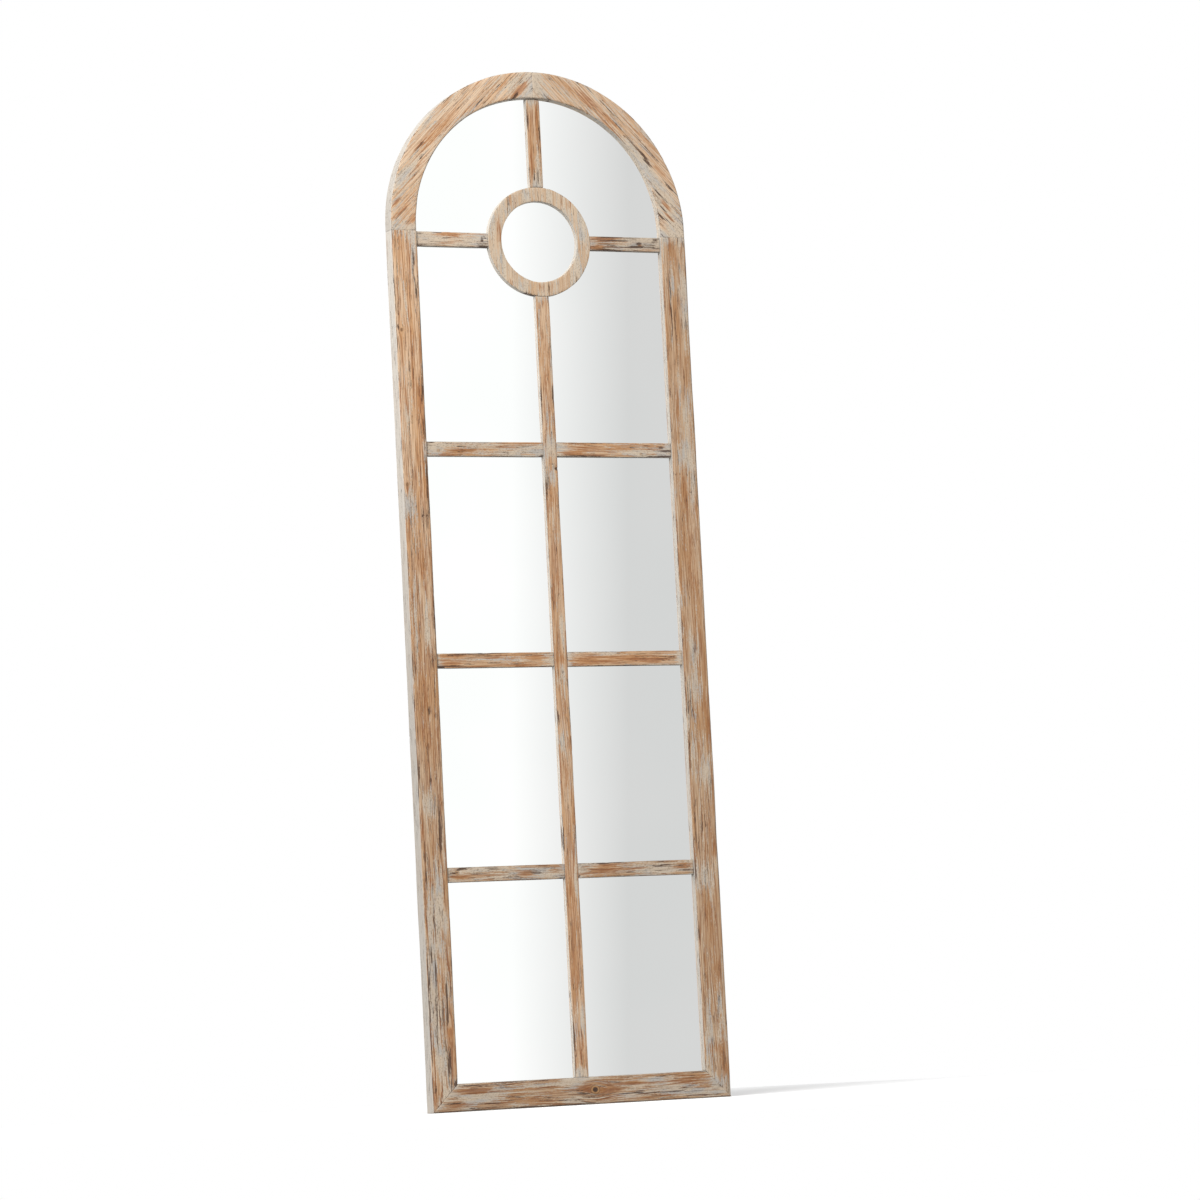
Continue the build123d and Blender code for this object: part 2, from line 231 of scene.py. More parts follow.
def weather(spots, sideways, facing, arris, seamGap, wood):
    degrees, seed = wood.get("grain", 0), wood["seed"]
    across, along = grainSpots(spots[:, 0], spots[:, 2], degrees)
    depth = spots[:, 1]
    here = np.stack([across, depth, along], axis=1)
    sway = noise(here, wear["swaySize"], seed) * wood.get("sway", 3.0)
    grainAcross = across + sway
    knotMark = np.zeros(len(across))
    for x, z, radius, stretch, strength in wood.get("knots", []):
        spotAcross, spotAlong = grainSpots(x, z, degrees)
        offAcross, offAlong = across - spotAcross, along - spotAlong
        reach = np.exp(-((offAlong / (radius * stretch * 2.4)) ** 2))
        fade = np.exp(-np.abs(offAcross) / (radius * 1.9)) * reach
        grainAcross -= np.tanh(offAcross / (radius * 0.6)) * radius * fade
        nearness = np.clip(1 - np.hypot(offAcross / radius, offAlong / (radius * stretch)), 0, 1)
        knotMark = np.maximum(knotMark, strength * nearness)
    pithAcross, pithDepth = wood["pith"]
    grainAcross = grainAcross - pithAcross - across.mean()
    grain = np.stack([grainAcross, depth - pithDepth, along + seed * 977.0], axis=1)

    side = np.clip(1 - np.abs(facing) * 1.4, 0, 1)
    back = np.clip(facing, 0, 1)
    wash = wood["wash"] + patchMask(across, along, wood["washed"], degrees)
    wash += wear["sideWash"] * side + wear["backWash"] * back
    wash += wood.get("endWash", 0.0) * np.exp(-((seamGap / wood.get("endReach", 14.0)) ** 2))
    amber = patchMask(across, along, wood["amber"], degrees) * (1 - side)
    # the listed cracks also hold dark notches at the bars' ends, which are painted contact shade, carved as deep as
    # cracks
    widen = wear["checkWidth"]
    checks = [(x, z, wide * widen, tall, share) for x, z, wide, tall, share in wood["cracksAndContactShade"]]
    dark = patchMask(across, along, checks, degrees) * wear["checkShare"]
    middle, spread = wear["edgeFacing"]
    corner = np.exp(-(((np.abs(facing) - middle) / spread) ** 2)) * (arris > 0.3)
    broken = np.clip(0.7 + 0.9 * noise(here, wear["edgeSize"], seed + 5), 0, 1.2)
    dark += wear["edgeLine"] * corner * broken
    darkReach, easeReach = wear["seamReach"]
    dark += wood.get("seamLine", 0.32) * np.exp(-((seamGap / darkReach) ** 2)) * (1 - side)

    share = (along - along.min()) / (along.max() - along.min())
    tone = np.interp(share, np.linspace(0, 1, len(wood["tone"])), wood["tone"])
    # the sides get lighter or darker by their own factors: painted light where a factor is above 1, painted shade
    # where it is below
    lowSideShade, highSideShade = wood.get("sideWashAndShade", (1.0, 0.85))
    tone = tone * (1 + side * (np.where(sideways < 0, lowSideShade, highSideShade) - 1))
    lowPaint, highPaint = wood.get("sidePaint", (1.0, 1.0))
    painted = side * np.where(sideways < 0, lowPaint, highPaint)
    tint = np.stack([tone, painted, np.zeros_like(tone)], axis=1)

    streak = noise(here, wear["fineStreak"], seed + 1) * 0.6
    streak += noise(here, wear["broadStreak"], seed + 2) * 0.4
    lumps = noise(here, wear["lumpSize"], seed + 3)
    nicks = np.clip(noise(here, wear["nickSize"], seed + 4) * 2.4 - 1.2, 0, 1)
    carved = wear["fibre"] * (1 - streak) / 2 * (1 + 1.2 * np.clip(wash, 0, 1))
    carved += wear["ripple"] * (1 + lumps) / 2
    carved += wear["ease"] * arris * np.clip(0.35 + 0.65 * lumps + 0.9 * nicks, 0, 1.5)
    carved += wear["crack"] * np.clip(dark, 0, 1.2)
    carved += wear["seam"] * np.exp(-((seamGap / easeReach) ** 2))
    carved += 0.5 * knotMark * (knotMark < 0.25)
    marks = np.stack([wash, amber, dark, knotMark], axis=1)
    return grain, marks, tint, carved * (1 - 0.7 * back)


def carvedPiece(replaced, profile, spacing, ends, place, wood, closed=False):
    # one skin of worn wood in place of the node, named after it
    points, normals, arris = profile
    low, high = ends(points[:, 0])
    length = float(np.max(high - low))
    if closed:
        steps = np.arange(0, length - spacing / 2, length / round(length / spacing))
    else:
        near = np.array(wear["endSteps"])
        run = length - 2 * near[-1]
        inside = np.arange(near[-1], length - near[-1], run / max(1, round(run / spacing)))
        steps = np.concatenate([near[:-1], inside, length - near[::-1]])
    along = low + (steps / length)[:, None] * (high - low)
    parts = (*points.T, *normals.T, arris)
    across, depth, sideways, facing, nearArris = (np.broadcast_to(part, along.shape) for part in parts)
    rest = place(along, across, depth)
    seamGap = np.full(along.shape, 1e3) if closed else np.minimum(along - low, high - along)
    flat = [values.ravel() for values in (sideways, facing, nearArris, seamGap)]
    grain, marks, tint, carved = weather(rest.reshape(-1, 3), *flat, wood)
    carved = carved.reshape(along.shape)
    rows = place(along, across - carved * sideways, depth - carved * facing)
    attributes = {"grain": ("FLOAT_VECTOR", grain), "marks": ("FLOAT_COLOR", marks), "tint": ("FLOAT_VECTOR", tint)}
    first, *others = replaced.split("_")
    piece = addMesh(first + "".join(map(str.capitalize, others)), rows, closed, attributes)
    piece.data.materials.append(wood["material"])
    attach(piece, "frame")
    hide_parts(replaced)
    piece.visible_glossy = False  # the panes show only the bright studio, as in the photograph


# ---- shader node groups

layers = {  # layers of noise: weight, mm across the grain, mm along it, detail, roughness and shift
    "waver": [(2, 15, 240, 1, 0.5, 0), (0.45, 5, 70, 1, 0.5, 5)],
    "ringStrength": [(1, 3, 70, 2, 0.6, 11)],
    "lines": [(0.9, 1.5, 75, 1, 0.5, 3), (0.5, 0.6, 20, 2, 0.6, 9)],
    "warmth": [(1, 12, 150, 2, 0.5, 7)],
    "wash": [(0.65, 5, 60, 2, 0.6, 17), (0.55, 1.35, 42, 2, 0.6, 23), (0.3, 1.2, 4, 1, 0.6, 29)],
    "specks": [(1, 1.3, 2.6, 1, 0.5, 33)],
    "coolness": [(0.7, 14, 50, 2, 0.5, 31), (0.5, 2.4, 20, 2, 0.5, 37)],
    "checks": [(0.95, 0.95, 38, 1, 0.5, 41), (0.5, 7, 40, 1, 0.5, 47), (0.3, 1.2, 5, 1, 0.5, 43)],
    "streaks": [(0.8, 2.2, 60, 2, 0.65, 53), (0.3, 2, 9, 2, 0.6, 57)],
}
levels = {  # a ramp: from low to high, and the values there where they aren't 0 and 1
    "lateRise": (0.42, 0.86), "lateFall": (1, 0.9), "ringStrength": (-1.1, 0.7, 0.1, 1),
    "warmth": (-1.1, 1.3), "dip": (-0.1, -1, 0, 0.75), "rise": (0.2, 1.1, 0, 0.6),
    "specks": (0.7, 1.5), "coolness": (-0.5, 1.3), "amberDepth": (-0.1, 2),
    "knotHeart": (0.4, 0.62), "knotRim": (0.3, 0.14, 0, 0.7), "knotEdge": (0.03, 0.16),
    "knotBare": (0.05, 0.3, 1, 0.5),
}
covers = {  # a cover: the level with nothing asked for, its fall for each unit, and the softness of the edge
    "wash": (1.3, 2.9, 0.42),
    "checks": (1.95, 2.8, 0.26),
    "bare": (1.5, 2.6, 0.9),
}


drawing = {}  # "tree" in it is the node tree that the functions below add nodes to


def newGroup(name, inputs, outputs):
    tree = drawing["tree"] = bpy.data.node_groups.new(name, "ShaderNodeTree")
    for way, sockets in (("INPUT", inputs), ("OUTPUT", outputs)):
        for label, kind in sockets.items():
            tree.interface.new_socket(label, in_out=way, socket_type="NodeSocket" + kind)
    return tree, tree.nodes.new("NodeGroupInput"), tree.nodes.new("NodeGroupOutput")


def feed(made, inputs):
    # a socket is linked to an input, and anything else becomes its value
    for label, value in inputs.items():
        if isinstance(value, bpy.types.NodeSocket):
            drawing["tree"].links.new(value, made.inputs[label])
        else:
            made.inputs[label].default_value = value


def node(kind, inputs=None, **settings):
    made = drawing["tree"].nodes.new("ShaderNode" + kind)
    for label, value in settings.items():
        setattr(made, label, value)
    feed(made, inputs or {})
    return made


def maths(operation, first, second=0.0, third=0.0):
    return node("Math", {0: first, 1: second, 2: third}, operation=operation).outputs[0]


def product(first, second):
    return maths("MULTIPLY", first, second)


def grey(level):
    return node("CombineColor", {0: level, 1: level, 2: level}).outputs[0]


def ramp(value, low, high, fromValue=0.0, toValue=1.0):
    ends = {"From Min": low, "From Max": high, "To Min": fromValue, "To Max": toValue}
    return node("MapRange", {"Value": value, **ends}, interpolation_type="SMOOTHSTEP").outputs[0]


def blend(share, first, second, mode="MIX"):
    return node("Mix", {0: share, 6: first, 7: second}, data_type="RGBA", blend_type=mode).outputs[2]


def stretchedNoise(grain, across, along, detail, roughness, shift):
    # noise with lumps of so many millimetres across and along the grain, centred on 0 with a spread of about 1
    placing = {"Location": (shift, shift * 1.7, shift * 0.6), "Scale": (1 / across, 1 / across, 1 / along)}
    scaled = node("Mapping", {"Vector": grain, **placing}).outputs[0]
    shape = {"Vector": scaled, "Scale": 1.0, "Detail": detail, "Roughness": roughness}
    texture = node("TexNoise", shape).outputs[0]
    return product(maths("SUBTRACT", texture, 0.5), 8.5)


def added(*shares):
    # a sum of (weight, value) pairs
    total = 0.0
    for weight, value in shares:
        total = maths("MULTIPLY_ADD", value, weight, total)
    return total


def layered(grain, name, *others):
    # the layers of noise, and any other (weight, value) pairs, added up
    noises = [(weight, stretchedNoise(grain, *shape)) for weight, *shape in layers[name]]
    return added(*noises, *others)


def levelled(value, name):
    return ramp(value, *levels[name])


def covered(pattern, amount, name):
    # the share of the surface where the pattern rises over a level that falls as the amount grows
    atNone, perUnit, soft = covers[name]
    level = maths("MULTIPLY_ADD", amount, -perUnit, atNone)
    over = maths("DIVIDE", maths("SUBTRACT", pattern, level), soft)
    return ramp(over, -1.0, 1.0)


def makeFirGroup():
    # growth rings cut lengthways, with the thin lines of brushed wood over them
    tree, start, end = newGroup(
        "firGrain",
        {
            "Grain": "Vector",
            "ringSpacing": "Float",
            "lineContrast": "Float",
            "early": "Color",
            "late": "Color",
            "warm": "Color",
        },
        {"Color": "Color", "Late": "Float", "Lines": "Float"},
    )
    grain = start.outputs["Grain"]
    apart = node("SeparateXYZ", {0: grain})
    fromPith = node("CombineXYZ", {"X": apart.outputs[0], "Y": apart.outputs[1]})
    radius = node("VectorMath", {0: fromPith.outputs[0]}, operation="LENGTH").outputs["Value"]
    waver = layered(grain, "waver", (1.0, radius))
    part = maths("FRACT", maths("DIVIDE", waver, start.outputs["ringSpacing"]))
    late = product(levelled(part, "lateRise"), levelled(part, "lateFall"))
    strength = levelled(layered(grain, "ringStrength"), "ringStrength")
    lateShare = product(late, strength)
    lines = layered(grain, "lines")
    warmth = levelled(layered(grain, "warmth"), "warmth")
    warmed = blend(warmth, start.outputs["early"], start.outputs["warm"])
    ringed = blend(lateShare, warmed, start.outputs["late"])
    dip = product(levelled(lines, "dip"), start.outputs["lineContrast"])
    rise = product(levelled(lines, "rise"), start.outputs["lineContrast"])
    lowered = blend(dip, ringed, start.outputs["late"])
    raised = blend(rise, lowered, start.outputs["early"])
    feed(end, {"Color": raised, "Late": lateShare, "Lines": lines})
    return tree


def makeWashGroup():
    # a thin pale wash that has stayed in the grain; Amount is 0 for traces of it and 1 for nearly all
    tree, start, end = newGroup(
        "greyWash",
        {"Grain": "Vector", "Amount": "Float", "Raised": "Float"},
        {"Mask": "Float", "Coolness": "Float", "Specks": "Float"},
    )
    grain = start.outputs["Grain"]
    pattern = layered(grain, "wash", (-0.9, start.outputs["Raised"]))
    mask = covered(pattern, start.outputs["Amount"], "wash")
    specks = levelled(layered(grain, "specks"), "specks")
    coolness = levelled(layered(grain, "coolness"), "coolness")
    feed(end, {"Mask": mask, "Coolness": coolness, "Specks": specks})
    return tree


def makeCheckGroup():
    # thin dark checks along the grain, more of them where Amount is high
    inputs = {"Grain": "Vector", "Amount": "Float", "Everywhere": "Float"}
    tree, start, end = newGroup("darkChecks", inputs, {"Mask": "Float"})
    grain = start.outputs["Grain"]
    pattern = layered(grain, "checks")
    amount = maths("ADD", start.outputs["Amount"], start.outputs["Everywhere"])
    feed(end, {"Mask": covered(pattern, amount, "checks")})
    return tree


firGrain = makeFirGroup()
greyWash = makeWashGroup()
darkChecks = makeCheckGroup()


def newMaterial(name):
    material = bpy.data.materials.new(name)
    material.use_nodes = True
    drawing["tree"] = material.node_tree
    material.node_tree.nodes.clear()
    shader = node("BsdfPrincipled")
    node("OutputMaterial", {0: shader.outputs[0]})
    return material, shader


def distressedFir(name, look):
    material, shader = newMaterial(name)
    grain = node("Attribute", attribute_name="grain").outputs["Vector"]
    marks = node("Attribute", attribute_name="marks")
    apart = node("SeparateColor", {0: marks.outputs["Color"]})
    wash, amber, dark = apart.outputs
    knot = marks.outputs["Alpha"]
    tint = node("Attribute", attribute_name="tint")
    tone, side = node("SeparateXYZ", {0: tint.outputs["Vector"]}).outputs[:2]

    wood = {name: look[name] for name in ("ringSpacing", "lineContrast", "early", "late", "warm")}
    wood = node("Group", {"Grain": grain, **wood}, node_tree=firGrain)
    washed = {"Grain": grain, "Amount": wash, "Raised": wood.outputs["Late"]}
    washed = node("Group", washed, node_tree=greyWash)
    checked = {"Grain": grain, "Amount": dark, "Everywhere": look["checks"]}
    checked = node("Group", checked, node_tree=darkChecks)

    streaks = layered(grain, "streaks")
    bare = covered(streaks, amber, "bare")
    amberDepth = levelled(added((1.0, streaks), (0.9, amber)), "amberDepth")
    amberTone = blend(amberDepth, look["amberLight"], look["amberDeep"])
    rich = blend(product(bare, look["amberShare"]), wood.outputs["Color"], amberTone)

    heart = blend(levelled(knot, "knotHeart"), look["knotLight"], look["knotDeep"])
    rimmed = blend(levelled(knot, "knotRim"), heart, look["knotDeep"])
    knotted = blend(levelled(knot, "knotEdge"), rich, rimmed)

    opacity = maths("MULTIPLY_ADD", bare, -look["washCleared"], look["washOpacity"])
    washShare = product(washed.outputs["Mask"], opacity)
    washShare = product(washShare, levelled(knot, "knotBare"))
    # the tone holds the painted side shade and light, and darkens or lightens the wood, the wash and the side wash
    # alike
    shadedToneColour = grey(tone)
    washTone = blend(washed.outputs["Coolness"], look["washWarm"], look["washCool"])
    toned = blend(1.0, knotted, shadedToneColour, "MULTIPLY")
    tonedWash = blend(look["washToning"], washTone, shadedToneColour, "MULTIPLY")
    pale = blend(washShare, toned, tonedWash)
    speckShare = product(washed.outputs["Specks"], washShare)
    specked = blend(product(speckShare, look["speckShare"]), pale, look["speckTone"])
    sideShare = product(side, ramp(streaks, -0.8, 1.8, *look["sideShare"]))
    sidePaint = blend(1.0, look["sideWashAndShade"], shadedToneColour, "MULTIPLY")
    sided = blend(sideShare, specked, sidePaint)
    checkShare = product(checked.outputs["Mask"], look["checkShare"])
    relief = ((0.35, wood.outputs["Lines"]), (0.5, wood.outputs["Late"]), (-1.1, checked.outputs["Mask"]))
    bump = node("Bump", {"Strength": 0.55, "Distance": look["bumpDepth"], "Height": added(*relief)})
    surface = {
        "Base Color": blend(checkShare, sided, look["checkTone"]),
        "Roughness": ramp(washShare, 0.0, 1.0, *look["roughness"]),
        "Normal": bump.outputs[0],
        "Specular IOR Level": 0.3,
    }
    feed(shader, surface)
    return material


frameFirLook = {
    "ringSpacing": 4.3,
    "lineContrast": 1.0,
    "early": srgb(226, 194, 160),
    "late": srgb(158, 106, 70),
    "warm": srgb(206, 158, 112),
    "checks": 0.11,
    "amberLight": srgb(206, 150, 98),
    "amberDeep": srgb(154, 94, 54),
    "amberShare": 0.8,
    "knotLight": srgb(202, 152, 102),
    "knotDeep": srgb(84, 62, 48),
    "washWarm": srgb(214, 199, 178),
    "washCool": srgb(190, 189, 184),
    "washOpacity": 0.82,
    "washCleared": 0.74,  # how much of that is gone where the wood is bare
    "washToning": 0.5,
    "sideWashAndShade": srgb(224, 217, 207),
    "sideShare": (0.95, 0.45),  # between the streaks and on them
    "speckShare": 0.75,
    "speckTone": srgb(132, 112, 94),
    "checkShare": 0.88,
    "checkTone": srgb(74, 52, 40),
    "roughness": (0.58, 0.78),  # of the wood and of the wash
    "bumpDepth": 0.0003,  # metres
}
frameFir = distressedFir("frameFir", frameFirLook)
rightStileLook = {"lineContrast": 0.8, "late": srgb(170, 120, 82), "checks": 0.1}
archWood = {"early": srgb(228, 200, 170), "late": srgb(184, 140, 104), "warm": srgb(214, 174, 134)}
archLook = {**archWood, "ringSpacing": 3.2, "lineContrast": 0.8, "checks": 0.1}
barLook = {"ringSpacing": 3.4, "lineContrast": 0.85, "late": srgb(168, 118, 84), "checks": 0.12}
ringWood = {"early": srgb(222, 198, 170), "late": srgb(196, 162, 130), "warm": srgb(212, 178, 142)}
ringLook = {**ringWood, "ringSpacing": 3.8, "lineContrast": 0.5, "checks": 0.04}
rightStileFir = distressedFir("rightStileFir", {**frameFirLook, **rightStileLook})
archFir = distressedFir("archFir", {**frameFirLook, **archLook})
barFir = distressedFir("barFir", {**frameFirLook, **barLook})
ringFir = distressedFir("ringFir", {**frameFirLook, **ringLook})
print("fir materials made")

# ---- the frame: stiles, bottom rail and the two quarter segments of the arch

frameShape = {
    "frontEase": 2.5,
    "backEase": 1.0,
    "lip": 9.0,
    "shoulder": 20.0,
    "boardDepth": 5.0,
    "front": 1.5,  # mm between the points of each face
    "sides": 2.4,
    "hidden": 7.0,
}
barShape = {"ease": 1.0, "front": 1.3, "sides": 2.0, "back": 6.0}

front, sides, hidden = frameShape["front"], frameShape["sides"], frameShape["hidden"]
lipX, shoulderX = frameWidth - frameShape["lip"], frameWidth - frameShape["shoulder"]
frameCorners = [
    (0, frontY, frameShape["frontEase"], front),
    (frameWidth, frontY, frameShape["frontEase"], sides),
    (frameWidth, glassY, 0, hidden),
    (lipX, glassY, 0, hidden),
    (lipX, frameShape["boardDepth"], 0, hidden),
    (shoulderX, frameShape["boardDepth"], 0, hidden),
    (shoulderX, backY, 0, sides),
    (0, backY, frameShape["backEase"], sides),
]
barCorners = [
    (-halfBar, barFrontY, barShape["ease"], barShape["front"]),
    (halfBar, barFrontY, barShape["ease"], barShape["sides"]),
    (halfBar, glassY, 0, barShape["back"]),
    (-halfBar, glassY, 0, barShape["sides"]),
]
frameProfile = oriented(*roundedOutline(frameCorners))
barProfile = oriented(*roundedOutline(barCorners))


def between(low, high):
    # the two ends of a piece that is cut square
    return lambda across: (np.full_like(across, low), np.full_like(across, high))


def uprightPlace(side):
    # across runs inwards from the outer edge, and along runs up
    return lambda along, across, depth: np.stack([side * (halfWidth - across), depth, along], axis=-1)


def lying(height):
    return lambda along, across, depth: np.stack([along, depth, across + height], axis=-1)


def archPlace(side):
    # a short straight leg, then a quarter turn to the crown
    leg = springZ - seamZ
    middle = halfWidth - frameWidth / 2

    def place(along, across, depth):
        turn = np.clip(along - leg, 0, None) / middle
        reach = halfWidth - across
        x = side * reach * np.cos(turn)
        z = springZ + np.minimum(along - leg, 0) + reach * np.sin(turn)
        return np.stack([x, depth, z], axis=-1)

    return place


leftStile = {
    # the outer side is lightened as painted light and the inner side darkened as painted shade
    "sideWashAndShade": (1.12, 0.85), "tone": (0.76, 0.72, 0.74, 0.85, 1.02, 1.08), "seed": 11,
    "pith": (84, 30), "material": frameFir, "wash": 0.1, "endWash": 0.5,
    "washed": [
        (-240, 1476, 6, 40, 0.8), (-259, 1378, 4, 28, 0.4), (-266, 1195, 5, 48, 0.5), (-236, 1128, 4, 26, 0.7),
        (-270, 1034, 12, 28, 0.9), (-269, 828, 6, 72, 0.7), (-246, 826, 8, 38, 0.7), (-260, 524, 11, 22, 0.8),
        (-250, 352, 11, 58, 0.8), (-264, 300, 13, 70, 0.6), (-268, 175, 9, 80, 0.9), (-255, 90, 9, 80, 0.7),
        (-240, 230, 8, 60, 0.4),
    ],
    "amber": [
        (-251, 1335, 6, 40, 0.5), (-239, 1222, 5, 26, 1.3), (-236, 1176, 4, 24, 1.2), (-241, 1075, 4, 38, 0.8),
        (-250, 932, 15, 34, 0.5), (-271, 818, 2.6, 52, 0.7), (-264, 812, 2.4, 52, 0.7), (-256, 700, 17, 62, 0.5),
        (-252, 612, 14, 50, 0.5), (-238, 528, 3, 28, 0.9), (-263, 388, 4, 13, 0.9), (-273, 478, 4, 36, 0.5),
        (-241, 134, 5, 10, 1.5), (-236, 140, 3, 80, 0.6), (-272, 50, 5, 48, 0.7), (-252, 205, 9, 34, 0.4),
    ],
    "cracksAndContactShade": [
        (-234, 47, 3, 5, 0.9), (-236.7, 1402, 1.3, 13, 1), (-231.6, 1320, 1.2, 80, 0.7), (-250.5, 682, 1.9, 8, 1.1),
        (-275, 572, 1.2, 20, 0.9), (-254, 562, 1.7, 10, 1), (-241, 490, 2.6, 62, 0.55), (-244, 170, 3, 34, 0.6),
        (-244, 86, 3.2, 36, 0.62), (-243, 208, 1, 16, 0.8), (-275.6, 160, 1.2, 100, 0.7), (-268, 262, 1.4, 16, 0.8),
        (-233, 850, 1.2, 70, 0.6), (-272, 1341, 2.6, 1.8, 0.8), (-275.5, 1345, 1.6, 2.6, 0.8),
        (-238, 1462, 1.1, 12, 0.8), (-252, 178, 1.2, 30, 0.7), (-262, 235, 1.1, 40, 0.6), (-264, 150, 1, 30, 0.6),
        (-235.5, 1222, 3, 24, 0.5), (-235, 1172, 3, 20, 0.45), (-234, 1090, 1.6, 90, 0.45), (-242, 470, 1.4, 30, 0.8),
        (-270, 410, 1.1, 34, 0.6), (-260, 345, 1, 40, 0.6), (-262, 1160, 1, 30, 0.7), (-250, 1290, 0.8, 60, 0.5),
        (-240, 1440, 0.9, 60, 0.5), (-266, 1000, 0.9, 40, 0.5), (-247, 1016, 8, 0.9, 0.7),
    ],
    "knots": [(-268, 1338, 4.5, 1.3, 0.22), (-271, 1070, 4.5, 1.4, 0.22), (-241, 134, 6.5, 2.1, 0)],
}
rightStile = {
    "tone": (0.63, 0.66, 0.69, 0.73, 0.75, 0.78), "seed": 23, "pith": (-92, 36),
    "material": rightStileFir, "wash": 0.12, "endWash": 0.6,
    "washed": [
        (250, 1440, 5, 40, 0.5), (270, 1400, 8, 70, 0.8), (262, 1200, 14, 50, 0.5), (260, 1125, 16, 26, 0.8),
        (268, 1050, 8, 40, 0.4), (252, 715, 14, 32, 0.7), (262, 560, 12, 40, 0.6), (240, 620, 7, 60, 0.5),
        (250, 385, 18, 26, 0.7), (262, 130, 12, 60, 0.6), (240, 120, 7, 70, 0.5), (268, 15, 12, 20, 0.7),
        (252, 785, 10, 30, 0.6),
    ],
    "amber": [
        (246, 1490, 4, 22, 0.7), (258, 1470, 4, 26, 0.6), (246, 1385, 12, 40, 0.5), (246, 1200, 6, 60, 0.7),
        (270, 1175, 4, 32, 0.7), (250, 1060, 13, 32, 0.6), (271, 1030, 3, 30, 1), (255, 950, 16, 80, 0.55),
        (262, 850, 12, 60, 0.5), (270, 650, 4, 50, 0.9), (252, 590, 9, 40, 0.4), (258, 470, 14, 60, 0.5),
        (270, 428, 3, 13, 1), (256, 320, 16, 50, 0.5), (250, 85, 14, 10, 0.8), (268, 50, 8, 34, 0.7),
        (264, 225, 9, 30, 0.5),
    ],
    "cracksAndContactShade": [
        (244, 1385, 1.3, 50, 0.7), (251, 1345, 1.2, 40, 0.6), (248, 1090, 14, 0.9, 0.7), (266, 1058, 5, 1, 0.8),
        (236, 690, 1, 40, 0.5), (241, 680, 1, 46, 0.35), (234, 600, 1, 60, 0.45), (237, 460, 1.2, 40, 0.6),
        (249, 455, 1.2, 40, 0.6), (276, 440, 1.3, 60, 0.6), (233, 280, 1.2, 24, 0.8), (268, 68, 1.3, 18, 0.8),
        (250, 60, 1.1, 26, 0.7), (262, 40, 1.2, 22, 0.7), (233, 395, 1.4, 20, 0.9),
    ],
}
bottomRail = {
    "tone": (0.62, 0.6, 0.62), "grain": 90, "seed": 37, "pith": (100, 24), "sway": 6, "material": frameFir,
    "wash": 0.24, "endWash": 0.35,
    "washed": [
        (-200, 22, 9, 40, 0.8), (-165, 33, 6, 30, 0.5), (-212, 7, 4, 16, 0.6), (-20, 36, 6, 26, 0.9),
        (-22, 8, 7, 24, 0.6), (70, 32, 5, 34, 0.5), (75, 12, 7, 40, 0.6), (170, 20, 8, 50, 0.6),
        (210, 12, 7, 40, 0.7), (135, 36, 6, 30, 0.6), (262, 24, 10, 18, 0.9), (-90, 38, 4, 30, 0.5),
        (-6, 44, 3, 24, 0.9),
    ],
    "amber": [
        (-210, 34, 5, 30, 0.8), (-236, 12, 6, 26, 0.8), (-120, 27, 7, 28, 0.7), (-90, 10, 5, 40, 0.6),
        (-40, 28, 5, 30, 0.6), (45, 22, 14, 24, 1), (2, 27, 9, 16, 0.9), (-198, 34, 5, 24, 1.1), (95, 34, 6, 26, 1),
        (110, 8, 5, 40, 0.6), (190, 34, 6, 32, 0.8), (225, 38, 4, 20, 0.5), (150, 28, 6, 30, 0.4),
    ],
    "cracksAndContactShade": [
        (-175, 11.5, 0.9, 22, 0.6), (-148, 15, 0.9, 20, 0.6), (-124, 19.5, 0.9, 18, 0.6), (-22, 24.5, 0.9, 18, 0.65),
        (0, 19, 0.9, 14, 0.65), (12, 12.5, 0.9, 10, 0.6), (-16, 9.5, 0.9, 34, 0.5), (30, 15.5, 1, 12, 0.7),
        (42, 30, 1, 16, 0.7), (-205, 43, 1.4, 40, 0.7), (60, 34, 1.2, 18, 0.7), (120, 14, 1, 40, 0.6),
        (-110, 46, 1.3, 60, 0.6), (215, 6, 1, 34, 0.6), (-60, 1.6, 1, 150, 0.5), (150, 42, 1.2, 30, 0.5),
    ],
    "knots": [(21, 25, 9, 1.1, 1)],
}
leftArch = {
    "sideWashAndShade": (0.96, 0.7), "seamLine": 0.12, "tone": (1.07, 1.09), "grain": 45, "seed": 41, "pith": (-95, 34),
    "material": archFir, "wash": 0.27, "endWash": 0.75, "endReach": 17,
    "washed": [
        (-247, 1610, 8, 34, 1), (-262, 1568, 4, 20, 0.6), (-28, 1775, 14, 22, 0.8), (-140, 1706, 3.4, 50, 0.4),
        (-205, 1706, 5, 26, 0.7), (-16, 1760, 8, 20, 0.5), (-236, 1580, 3, 40, 0.4), (-84, 1740, 3, 40, 0.4),
    ],
    "amber": [
        (-24, 1768, 5.5, 17, 2), (-36, 1756, 3, 12, 1.2), (-172, 1700, 10, 40, 0.6), (-205, 1664, 8, 34, 0.5),
        (-226, 1620, 4, 30, 0.7), (-250, 1556, 5, 34, 0.6), (-236, 1532, 5, 16, 0.9), (-266, 1560, 3, 9, 1),
        (-90, 1755, 4, 34, 0.6), (-105, 1776, 4, 20, 0.5), (-62, 1770, 3, 24, 0.7),
    ],
    "cracksAndContactShade": [
        (-70, 1764, 1, 24, 0.5), (-96, 1748, 1, 30, 0.4), (-36, 1752, 1.4, 10, 1), (-20, 1776, 1.2, 7, 0.7),
        (-30, 1760, 1.4, 8, 0.8), (-140, 1730, 0.9, 40, 0.3), (-242, 1585, 1, 30, 0.35), (-258, 1540, 1, 20, 0.45),
    ],
}
